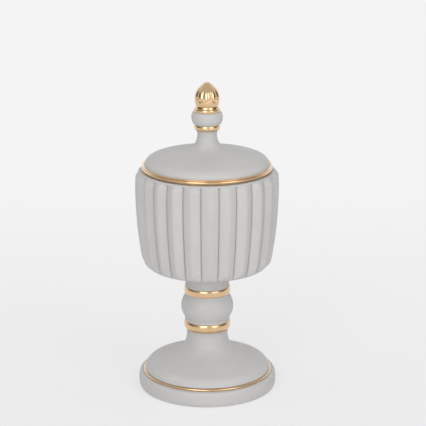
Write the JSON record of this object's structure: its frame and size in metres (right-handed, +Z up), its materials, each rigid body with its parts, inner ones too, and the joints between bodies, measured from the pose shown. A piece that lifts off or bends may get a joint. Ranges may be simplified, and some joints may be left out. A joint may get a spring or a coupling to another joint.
{
  "type": "decorative lidded jar",
  "caption": "Fluted urn jar on a domed foot and knopped stem, with a lift-off domed lid, gilt collars and an acorn finial.",
  "frame": {"origin": "centre of the resting plane, under the felt ring, on the jar's axis", "axes": "+Z up along the jar's axis, towards the finial; the pictured front is -Y"},
  "size_m": [0.1504, 0.1504, 0.3308],
  "materials": {
    "grey_ceramic": "satin, pale warm grey",
    "gilt": "polished pale gilt brass",
    "hardware_steel": "zinc-plated steel",
    "gasket_rubber": "matt black rubber",
    "felt": "dark grey felt"
  },
  "bodies": {
    "jar": {"felt_ring": "felt", "foot": "grey_ceramic", "foot_gilt_ring": "gilt", "lower_collar": "gilt", "knop": "grey_ceramic", "upper_collar": "gilt", "bowl": "grey_ceramic", "bowl_gasket": "gasket_rubber", "bowl_washer": "hardware_steel", "bowl_nut": "hardware_steel", "foot_gasket": "gasket_rubber", "foot_washer": "hardware_steel", "foot_nut": "hardware_steel", "tie_rod": "hardware_steel"},
    "lid": {"lid": "grey_ceramic", "lid_gilt_band": "gilt", "finial_collar": "gilt", "finial_bead": "grey_ceramic", "acorn_ring": "gilt", "acorn": "gilt", "lid_gasket": "gasket_rubber", "lid_washer": "hardware_steel", "lid_nut": "hardware_steel", "finial_stud": "hardware_steel"}
  },
  "joints": [
    {"name": "lid_lift", "type": "slide", "parent": "jar", "child": "lid", "axis": [0, 0, 1], "range_m": [0, 0.16]}
  ]
}
